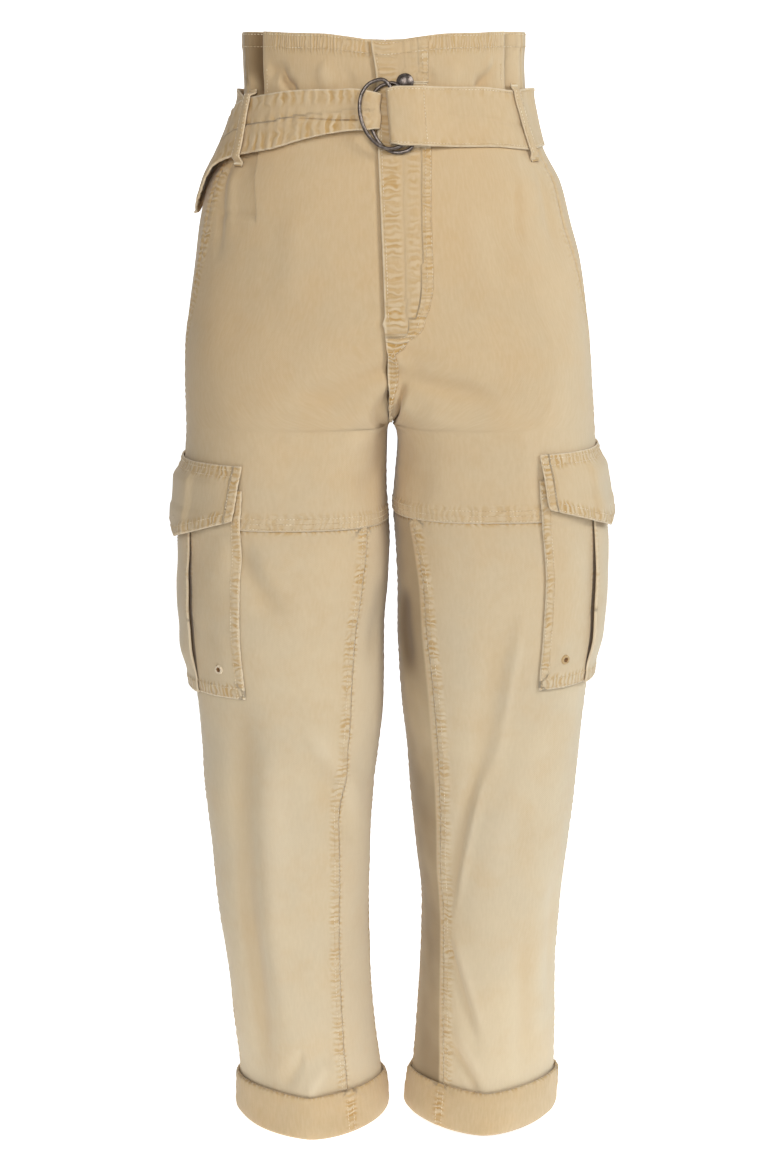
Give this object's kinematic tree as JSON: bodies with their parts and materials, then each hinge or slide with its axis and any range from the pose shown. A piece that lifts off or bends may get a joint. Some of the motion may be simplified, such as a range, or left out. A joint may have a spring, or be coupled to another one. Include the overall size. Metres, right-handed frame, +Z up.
{
  "type": "paperbag waist trousers",
  "caption": "Cuffed cotton twill trousers with a gathered paperbag waist, a self belt run through D rings, a fly, side cargo pockets with pointed flaps and turned up hems.",
  "frame": {"origin": "middle of the waist, halfway up the belt, midway between its two sides", "axes": "+Z up towards the rim, -Y is the front, +X is the wearer's left"},
  "size_m": [0.4216, 0.2423, 1.0641],
  "materials": {
    "sand_twill": "garment dyed cotton twill, matt",
    "sand_twill_trim": "the same twill, a little worn at its seams",
    "dark_steel": "dark antique",
    "painted_eyelet": "worn paint over brass"
  },
  "bodies": {
    "root": {"front_right_upper": "sand_twill", "front_right_lower": "sand_twill", "front_right_inner": "sand_twill", "back_right": "sand_twill", "cuff_right": "sand_twill", "flap_right": "sand_twill", "pocket_right": "sand_twill_trim", "eyelet_right": "painted_eyelet", "front_left_upper": "sand_twill", "front_left_lower": "sand_twill", "front_left_inner": "sand_twill", "back_left": "sand_twill", "cuff_left": "sand_twill", "flap_left": "sand_twill", "pocket_left": "sand_twill_trim", "eyelet_left": "painted_eyelet", "fly": "sand_twill_trim", "button": "dark_steel", "belt": "sand_twill", "ring_upper": "dark_steel", "ring_lower": "dark_steel", "loop_front_right": "sand_twill_trim", "loop_front_left": "sand_twill_trim", "loop_back_right": "sand_twill_trim", "loop_back_left": "sand_twill_trim", "loop_back_middle": "sand_twill_trim"}
  },
  "joints": []
}
